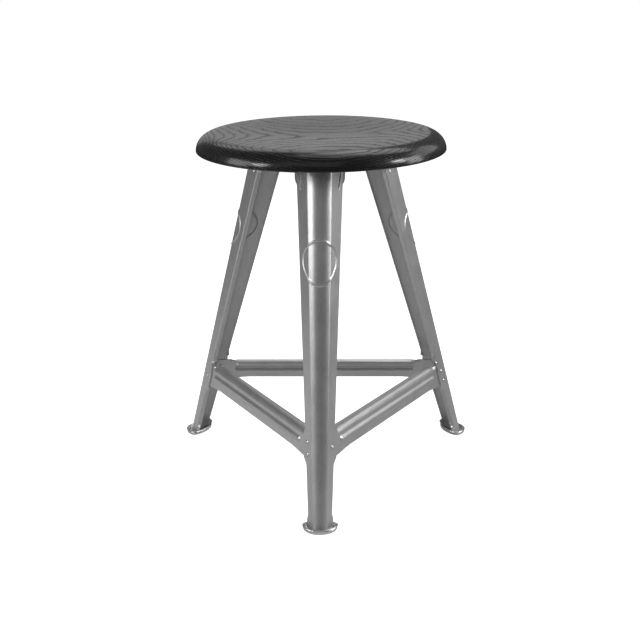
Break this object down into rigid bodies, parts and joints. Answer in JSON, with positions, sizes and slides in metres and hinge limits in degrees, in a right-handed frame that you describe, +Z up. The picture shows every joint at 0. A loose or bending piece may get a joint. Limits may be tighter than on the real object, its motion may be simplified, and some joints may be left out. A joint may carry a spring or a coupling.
{
  "type": "machinist stool",
  "caption": "Low workshop stool: round dished wooden seat on splayed pressed-steel channel legs, tied near the foot by rolled-edge crossbars and standing in flat steel shoes.",
  "frame": {"origin": "centre of the overall bounding box, on the floor plane under the shoes; the stool's own centre line stands 38.35 mm from it along +Y", "axes": "+Z up, -Y towards the single front leg, +X to the right for someone facing that leg"},
  "size_m": [0.4422, 0.4266, 0.4958],
  "materials": {
    "seat_wood": "near-black stained open-grained hardwood, satin",
    "plate_steel": "plain rolled sheet, satin",
    "leg_steel": "bare sheet steel, satin, clear coated",
    "crossbar_steel": "bare sheet steel, satin, clear coated",
    "shoe_steel": "bright pressed steel",
    "rivet_steel": "bright domed heads",
    "screw_steel": "plain slotted heads"
  },
  "bodies": {
    "root": {"seat": "seat_wood", "seat_mounting_plate": "plate_steel", "leg_front": "leg_steel", "shoe_front": "shoe_steel", "top_rivets_leg_front": "rivet_steel", "leg_left": "leg_steel", "shoe_left": "shoe_steel", "top_rivets_leg_left": "rivet_steel", "leg_right": "leg_steel", "shoe_right": "shoe_steel", "top_rivets_leg_right": "rivet_steel", "crossbar_rear": "crossbar_steel", "crossbar_left": "crossbar_steel", "crossbar_right": "crossbar_steel", "rivets_crossbar_left_to_leg_front": "rivet_steel", "rivets_crossbar_left_to_leg_left": "rivet_steel", "rivets_crossbar_rear_to_leg_left": "rivet_steel", "rivets_crossbar_rear_to_leg_right": "rivet_steel", "rivets_crossbar_right_to_leg_front": "rivet_steel", "rivets_crossbar_right_to_leg_right": "rivet_steel", "seat_screws": "screw_steel"}
  },
  "joints": []
}
